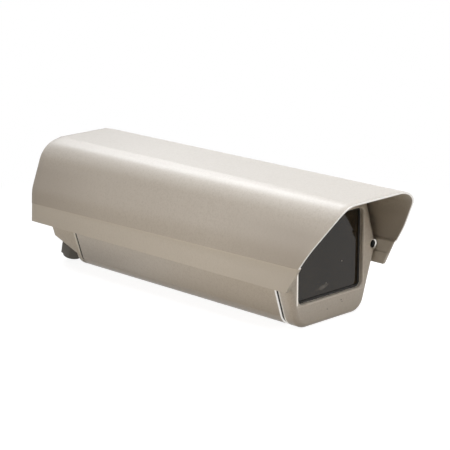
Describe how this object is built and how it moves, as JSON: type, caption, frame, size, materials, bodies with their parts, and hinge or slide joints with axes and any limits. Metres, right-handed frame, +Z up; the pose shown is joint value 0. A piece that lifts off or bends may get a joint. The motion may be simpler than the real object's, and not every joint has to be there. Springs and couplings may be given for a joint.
{
  "type": "security camera housing",
  "caption": "Outdoor security camera housing: hexagonal body with a window, sheet sunshield with slanted visor, rear cap with cable glands and a draw-out tray.",
  "frame": {"origin": "on the flat underside's plane, under the middle of the sunshield's length and width", "axes": "+Z up; +Y along the body towards the rear cap and its cable glands, so the window looks along -Y; +X across"},
  "size_m": [0.1412, 0.418, 0.1298],
  "materials": {
    "paint": "satin powder coat, warm light grey",
    "rubber": "matt black",
    "glass": "clear, polished",
    "aluminium": "mill finish sheet",
    "steel": "stainless",
    "brass": "plain",
    "gland_plastic": "moulded, dark grey",
    "black_plastic": "moulded, black"
  },
  "bodies": {
    "housing": {"body_tube": "paint", "front_cap": "paint", "front_gasket": "rubber", "window_seal": "rubber", "window_glass": "glass", "window_retainer": "aluminium", "nut_plate": "aluminium", "retainer_screws": "steel", "front_cap_screws": "steel", "rail_stop_screws": "steel"},
    "drawer": {"rear_cap": "paint", "rear_gasket": "rubber", "rear_cap_screws": "steel", "gland_bodies": "gland_plastic", "gland_nuts": "gland_plastic", "gland_seals": "rubber", "gland_lock_nuts": "gland_plastic", "equipment_tray": "aluminium", "tray_screws": "steel", "earth_screw": "brass", "earth_washer": "brass", "earth_nut": "brass"},
    "camera_carriage": {"camera_plate": "black_plastic", "camera_screw": "steel", "camera_washer": "steel"},
    "sunshield": {"sunshield": "paint", "sunshield_runners": "black_plastic"}
  },
  "joints": [
    {"name": "drawer_slide", "type": "slide", "parent": "housing", "child": "drawer", "axis": [0, 1, 0], "range_m": [0, 0.24]},
    {"name": "camera_slide", "type": "slide", "parent": "drawer", "child": "camera_carriage", "axis": [0, 1, 0], "range_m": [-0.04, 0.04]},
    {"name": "sunshield_slide", "type": "slide", "parent": "housing", "child": "sunshield", "axis": [0, 1, 0], "range_m": [-0.0245, 0.0245]}
  ]
}
